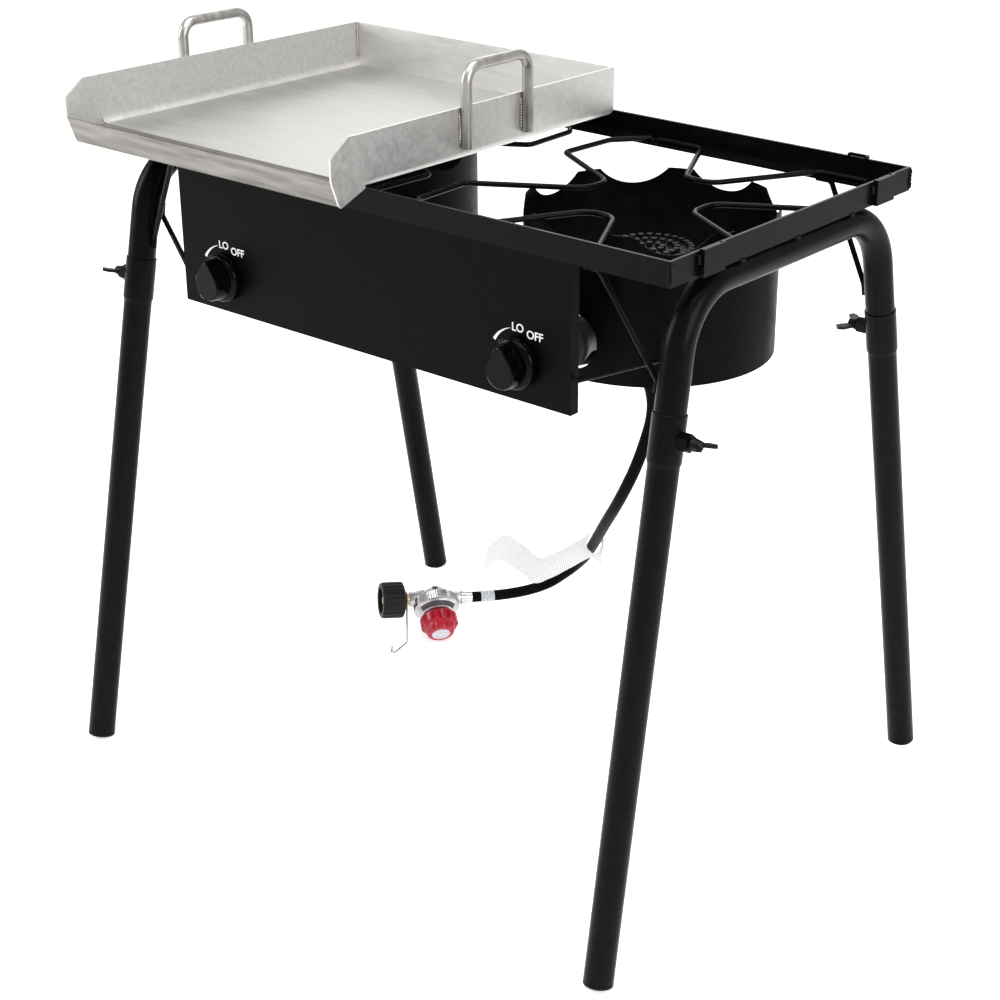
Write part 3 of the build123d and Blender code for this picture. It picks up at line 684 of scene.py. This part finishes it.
def frame_welds():
    beads = []
    for sx in (-1, 1):
        for sy in (-1, 1):
            x, y = sx * (HALF_LENGTH - 0.0008), sy * (HALF_WIDTH - 0.0008)
            low, high = (x, y, RAIL_BOTTOM + 0.001), (x, y, RAIL_TOP - 0.0006)
            beads.append(bead("corner_bead", low, high, 0.0030, 0.0042))
        for y in (-0.103, -0.006, 0.096):
            spot = (sx * (HALF_LENGTH - 0.001), y, RAIL_BOTTOM - 0.001)
            beads.append(bead("bracket_dot", spot, (spot[0], y + 0.008, spot[2]), 0.0026, 0.004))
        for x, y in ((59, 199), (346, 199), (72, 200), (118, 200), (376, 84)):
            for sy in (-1, 1):
                px, py, pz = sx * x / 1000, sy * y / 1000, FLANGE_TOP + 0.001
                beads.append(bead("rod_bead", (px - 0.006, py, pz), (px + 0.006, py, pz), 0.003, 0.004))
    for y in (-0.174, 0.137):
        low = (HALF_LENGTH + 0.001, y, RAIL_TOP - 0.013)
        beads.append(bead("clip_bead", low, (low[0], low[1], RAIL_TOP - 0.003), 0.0030, 0.0045))
    piece = join("frame_weld_beads", beads)
    dress(piece, "black_frame", "stand")


def griddle_welds():
    beads = []
    for x, front_y in ((GRIDDLE_HIGH_X + 0.001, -0.070), (GRIDDLE_LOW_X - 0.001, -0.086)):
        for y in (front_y, front_y + 0.100):
            for dy in (-0.0055, 0.0055):
                beads.append(bead("handle_bead", (x, y + dy, 0.759), (x, y + dy, 0.795), 0.0018, 0.003))
    for x in (GRIDDLE_LOW_X + 0.0035, GRIDDLE_HIGH_X - 0.0035):
        y = GRIDDLE_BACK - 0.0035
        beads.append(bead("corner_bead", (x, y, 0.756), (x, y, 0.799), 0.0014, 0.003))
    piece = join("griddle_weld_beads", beads)
    dress(piece, "stainless", "griddle")


frame_welds()
griddle_welds()


# ------------------------------------------------------------------ panel marks
def panel_marks():
    material = surface("white_print", (0.74, 0.74, 0.74), (0.82, 0.82, 0.82), (0.5, 0.6), bump=0.02)
    face_y = -HALF_WIDTH - 0.00015
    for side, s in SIDES.items():
        pieces = []
        for word, dx, dz in (("LO", 0.0, 0.035), ("OFF", 0.0215, 0.031)):
            text = bpy.data.curves.new(f"{side}_{word}", "FONT")
            text.body = word
            text.size = 0.0118
            text.align_x = "CENTER"
            text.align_y = "CENTER"
            text.extrude = 0.00008
            text.offset = 0.00022
            obj = bpy.data.objects.new(f"{side}_mark_{word}", text)
            obj.location = (s * BURNER_X + dx, face_y, CONTROL_Z + dz)
            obj.rotation_euler = (math.pi / 2, 0, 0)
            bpy.context.collection.objects.link(obj)
            pieces.append(obj)
        verts, faces = [], []
        steps = 24
        for k in range(steps + 1):
            angle = math.radians(106 + 44 * k / steps)
            half = 0.0002 + 0.0016 * k / steps
            for r in (0.0345 - half, 0.0345 + half):
                verts.append((s * BURNER_X + r * math.cos(angle), face_y, CONTROL_Z + r * math.sin(angle)))
        for k in range(steps):
            faces.append((2 * k, 2 * k + 1, 2 * k + 3, 2 * k + 2))
        wedge = mesh_object(f"{side}_mark_wedge", verts, faces)
        pieces.append(wedge)
        for obj in pieces:
            obj.data.materials.append(material)
            attach(obj, "stand")


panel_marks()


# ------------------------------------------------------------------ knobs
def knob_grip_outline(scale=1.0, steps=14):
    """Drop-shaped outline pointing up: a wide lower arc and a narrow upper arc with tangent flanks."""
    low_r, top_r, gap = 0.0185 * scale, 0.0065 * scale, 0.0215 * scale
    lean = math.asin((low_r - top_r) / gap)
    points = []
    for k in range(steps + 1):
        angle = lean + (math.pi - 2 * lean) * k / steps
        points.append((top_r * math.cos(angle), 0.0175 * scale + top_r * math.sin(angle)))
    for k in range(2 * steps + 1):
        angle = math.pi - lean + (math.pi + 2 * lean) * k / (2 * steps)
        points.append((low_r * math.cos(angle), -0.004 * scale + low_r * math.sin(angle)))
    return points


def loft(name, rings, smooth_angle=35):
    """Closed solid through rings of equal point count."""
    count = len(rings[0])
    verts = [p for ring in rings for p in ring]
    faces = []
    for row in range(len(rings) - 1):
        for k in range(count):
            a = row * count + k
            b = row * count + (k + 1) % count
            faces.append((a, b, b + count, a + count))
    faces.append(tuple(reversed(range(count))))
    faces.append(tuple(range((len(rings) - 1) * count, len(rings) * count)))
    obj = mesh_object(name, verts, faces, smooth_angle)
    recalculate(obj)
    return obj


def knobs():
    for side, s in SIDES.items():
        centre = Vector((s * BURNER_X, -0.220, CONTROL_Z))
        skirt_profile = [(0.0, 0.0255), (0.0006, 0.0265), (0.0055, 0.0265)]
        skirt_profile += [(0.0080, 0.0252), (0.0092, 0.0230), (0.0095, 0.0200)]
        skirt = lathe(f"{side}_knob_skirt", skirt_profile, centre, (0, -1, 0), 64)
        rings = []
        for depth, scale in ((0.0085, 1.03), (0.011, 1.0), (0.0235, 0.95), (0.0252, 0.925), (0.0260, 0.87)):
            ring = [centre + Vector((u, -depth, v)) for u, v in knob_grip_outline(scale)]
            rings.append(ring)
        grip = loft(f"{side}_knob_grip", rings, 30)
        piece = join(f"{side}_control_knob", [skirt, grip])
        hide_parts(f"{side}_knob")
        dress(piece, "knob_plastic", f"{side}_control")


knobs()


# ------------------------------------------------------------------ regulator, hand nut and hose dressings
def regulator():
    def knurl(angle, along, radius):
        return 0.0004 * math.cos(60 * angle) if radius > 0.029 else 0.0

    body_profile = [(-0.012, 0.0090), (-0.012, 0.0125), (-0.0112, 0.0135), (-0.005, 0.0198), (0.001, 0.0265)]
    body_profile += [(0.0045, 0.0285), (0.005, 0.0300), (0.0055, 0.0305), (0.0115, 0.0305), (0.012, 0.0300)]
    body = lathe("regulator_case_low", body_profile, REG_CENTRE, KNOB_AXIS, 240, 30, knurl)
    reach = (REG_CENTRE - HOSE_END).length
    outlet = [(0.015 - reach, 0.0085), (0.0155 - reach, 0.0092), (0.024 - reach, 0.0092)]
    outlet += [(-0.022, 0.0105), (-0.01, 0.012)]
    inlet = [(0.010, 0.012), (0.022, 0.0118), (0.027, 0.0105), (0.0345, 0.0105), (0.036, 0.0098)]
    arms = [lathe("regulator_arm", profile, REG_CENTRE, REG_AXIS, 40) for profile in (outlet, inlet)]
    low = join("regulator_case_lower", [body, *arms])
    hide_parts("regulator_body")
    dress(low, "die_cast", "stand")
    bonnet_profile = [(0.0122, 0.0300), (0.0126, 0.0305), (0.0165, 0.0305), (0.017, 0.0300), (0.0174, 0.0285)]
    bonnet_profile += [(0.0190, 0.0270), (0.0260, 0.0222), (0.0285, 0.0170)]
    bonnet_profile += [(0.0290, 0.0150), (0.042, 0.0150)]
    bonnet = lathe("regulator_case_upper", bonnet_profile, REG_CENTRE, KNOB_AXIS, 240, 30, knurl)
    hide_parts("regulator_bonnet")
    dress(bonnet, "die_cast", "stand")


def bonnet_label():
    """Dark printed arc on the sloping face of the bonnet, on the side that faces up."""
    x, y, z = frame_axes(KNOB_AXIS)
    verts, faces = [], []
    steps = 30
    for k in range(steps + 1):
        angle = math.radians(-62 + 124 * k / steps)
        outwards = x * math.cos(angle) + y * math.sin(angle)
        verts.append(REG_CENTRE + z * 0.0198 + outwards * 0.0268)
        verts.append(REG_CENTRE + z * 0.0257 + outwards * 0.0227)
    for k in range(steps):
        faces.append((2 * k, 2 * k + 1, 2 * k + 3, 2 * k + 2))
    label = mesh_object("regulator_label", verts, faces)
    dress(label, "label_ink", "stand")
    return label


def pressure_knob():
    def flutes(angle, along, radius):
        if radius > 0.0235 and along > 0.0315:
            return -0.0032 * max(0.0, math.cos(14 * angle)) ** 1.5
        if 0.0466 < along < 0.0540:
            return -0.0009 * max(0.0, math.cos(14 * angle))
        return 0.0

    profile = [(0.0305, 0.0156), (0.0305, 0.0225), (0.0314, 0.0243), (0.0330, 0.0254), (0.0440, 0.0252)]
    profile += [(0.0452, 0.0243), (0.0458, 0.0210), (0.0468, 0.0200), (0.0530, 0.0191), (0.0556, 0.0180)]
    profile += [(0.0568, 0.0166), (0.0570, 0.0150)]
    knob = lathe("pressure_knob", profile, REG_CENTRE, KNOB_AXIS, 168, 30, flutes)
    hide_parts("regulator_knob")
    dress(knob, "red_plastic", "pressure_control")
    disc_profile = [(0.0568, 0.0122), (0.0573, 0.0122), (0.0574, 0.0118)]
    disc = lathe("pressure_knob_disc", disc_profile, REG_CENTRE, KNOB_AXIS, 48)
    dress(disc, "label_paper", "pressure_control")


def hand_nut():
    def ribs(angle, along, radius):
        if radius < 0.022 or not 0.0465 < along < 0.0725:
            return 0.0
        return -0.0013 * (0.5 + 0.5 * math.cos(20 * angle)) ** 2

    profile = [(0.048, 0.0065), (0.048, 0.0170), (0.0745, 0.0176), (0.075, 0.0182)]
    profile += [(0.075, 0.0225), (0.0738, 0.0238)]
    profile += [(0.0715, 0.0243), (0.0690, 0.0245), (0.0480, 0.0245), (0.0455, 0.0238), (0.0440, 0.0205)]
    profile += [(0.0425, 0.0165), (0.0420, 0.0120), (0.0420, 0.0065)]
    nut = lathe("hand_nut", list(reversed(profile)), REG_CENTRE, REG_AXIS, 160, 32, ribs)
    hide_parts("tank_nut")
    dress(nut, "nut_plastic", "tank_connector")


def hose_end_point(t):
    """Point on the last stretch of the hose, t = 1 at the ferrule."""
    last = HOSE_END - REG_AXIS * 0.086
    start = (Vector(HOSE_POINTS[-1]) + last) / 2
    return start * (1 - t) ** 2 + last * (2 * t * (1 - t)) + HOSE_END * t**2


def hose_label():
    path = [hose_end_point(0.80 + 0.015 * k) for k in range(9)]
    label = sweep("hose_label_band", path, circle(HOSE_RADIUS + 0.0004, 40))
    dress(label, "label_paper", "stand")
    return label


regulator()
regulator_label = bonnet_label()
pressure_knob()
hand_nut()
label_band = hose_label()


# ------------------------------------------------------------------ paper strip on the hose
TAG_ORIGIN = Vector((-0.036, 0.227, 0.169))
TAG_LEFT = Vector((-0.96, -0.28, 0.0)).normalized()
TAG_LEAN = math.radians(24.0)
# Height of the strip's middle against the distance along it, both in millimetres.
TAG_WAVE = [(-14, -8), (0, -1), (27, -19), (54, -39), (71, -47)]
TAG_WAVE += [(93, -36), (107, -30), (129, -27), (148, -45)]
TAG_START = -14
TAG_RUN = 162
TAG_WIDTH = 34
HOLE_RADIUS = 10.5


def smooth_value(table, at):
    """Catmull-Rom reading of a short table of (position, value)."""
    for k in range(len(table) - 1):
        if at <= table[k + 1][0] or k == len(table) - 2:
            break
    p0 = table[max(k - 1, 0)][1]
    p1 = table[k][1]
    p2 = table[k + 1][1]
    p3 = table[min(k + 2, len(table) - 1)][1]
    t = (at - table[k][0]) / (table[k + 1][0] - table[k][0])
    square = (2 * p0 - 5 * p1 + 4 * p2 - p3) * t**2
    cube = (3 * p1 - p0 - 3 * p2 + p3) * t**3
    return 0.5 * (2 * p1 + (p2 - p0) * t + square + cube)


def paper_strip():
    backwards = TAG_LEFT.cross(Vector((0, 0, 1)))
    up = Vector((0, 0, 1)) * math.cos(TAG_LEAN) + backwards * math.sin(TAG_LEAN)
    normal = TAG_LEFT.cross(up)
    columns, rows = 110, 22
    verts, faces = [], []
    for c in range(columns + 1):
        s = TAG_START + TAG_RUN * c / columns
        middle = smooth_value(TAG_WAVE, s)
        roll = 5.0 * math.sin((s - TAG_START) / TAG_RUN * 2 * math.pi * 1.2)
        for r in range(rows + 1):
            across = TAG_WIDTH * (r / rows - 0.5)
            out = roll + 0.20 * across * math.sin((s - 20) / 60)
            verts.append(TAG_ORIGIN + (TAG_LEFT * s + up * (middle + across) + normal * out) / 1000)
    for c in range(columns):
        for r in range(rows):
            a = c * (rows + 1) + r
            s = TAG_START + TAG_RUN * (c + 0.5) / columns
            across = smooth_value(TAG_WAVE, s) + TAG_WIDTH * ((r + 0.5) / rows - 0.5)
            if math.hypot(s, (across - 1.0) * 0.8) < HOLE_RADIUS:
                continue
            faces.append((a, a + 1, a + rows + 2, a + rows + 1))
    strip = mesh_object("paper_strip", verts, faces, 80)
    layer = strip.data.uv_layers.new(name="strip")
    for loop in strip.data.loops:
        c, r = divmod(loop.vertex_index, rows + 1)
        layer.data[loop.index].uv = (r / rows, TAG_RUN / TAG_WIDTH * c / columns)
    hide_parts("safety_tag")
    dress(strip, "print", "stand")
    return strip


strip = paper_strip()


# ------------------------------------------------------------------ stage, light and camera
def area_light(name, location, target, size, power, size_y=None):
    data = bpy.data.lights.new(name, "AREA")
    data.shape = "RECTANGLE"
    data.size = size
    data.size_y = size_y or size
    data.energy = power
    light = bpy.data.objects.new(name, data)
    light.location = location
    light.rotation_mode = "QUATERNION"
    light.rotation_quaternion = (Vector(target) - Vector(location)).to_track_quat("-Z", "Y")
    bpy.context.collection.objects.link(light)
    return light


def stage():
    floor = mesh_object("floor", [(-6, -6, 0), (6, -6, 0), (6, 6, 0), (-6, 6, 0)], [(0, 1, 2, 3)])
    material, nodes, links, shader = new_material("pale_floor")
    speckle = noise_node(nodes, links, 3.0)
    dark, light = (0.93, 0.93, 0.93), (0.95, 0.95, 0.95)
    drive_colour(nodes, links, speckle.outputs["Fac"], shader.inputs["Base Color"], dark, light)
    shader.inputs["Roughness"].default_value = 0.9
    shader.inputs["Specular IOR Level"].default_value = 0.0
    shader.inputs["Emission Color"].default_value = (1, 1, 1, 1)
    shader.inputs["Emission Strength"].default_value = 0.55
    floor.data.materials.append(material)
    world = bpy.data.worlds.new("studio")
    bpy.context.scene.world = world
    world.use_nodes = True
    world.node_tree.nodes["Background"].inputs["Color"].default_value = (1, 1, 1, 1)
    world.node_tree.nodes["Background"].inputs["Strength"].default_value = 0.55
    area_light("top_softbox", (0.3, -0.3, 2.6), (0, 0, 0.5), 1.8, 40)
    area_light("left_softbox", (-2.2, -1.6, 1.6), (0, 0, 0.5), 1.2, 45, 1.8)
    area_light("back_softbox", (-1.9, 2.4, 2.0), (0, 0, 0.7), 2.4, 26, 1.8)
    area_light("right_softbox", (2.6, -0.4, 1.5), (0, 0, 0.7), 1.4, 32)


def camera():
    azimuth, elevation, roll = math.radians(37.47), math.radians(24.42), math.radians(0.87)
    level = math.cos(elevation)
    back = Vector((math.sin(azimuth) * level, -math.cos(azimuth) * level, math.sin(elevation)))
    level_right = Vector((math.cos(azimuth), math.sin(azimuth), 0))
    level_up = back.cross(level_right)
    right = level_right * math.cos(roll) + level_up * math.sin(roll)
    up = level_up * math.cos(roll) - level_right * math.sin(roll)
    data = bpy.data.cameras.new("camera")
    data.sensor_width = 36.0
    data.lens = 70.68
    data.shift_x = -0.0934
    data.shift_y = -0.0013
    obj = bpy.data.objects.new("camera", data)
    matrix = Matrix((right, up, back)).transposed().to_4x4()
    matrix.translation = Vector((1.3611, -1.5975, 1.2770))
    obj.matrix_world = matrix
    bpy.context.collection.objects.link(obj)
    bpy.context.scene.camera = obj


stage()
camera()
bpy.context.scene.view_settings.view_transform = "Standard"
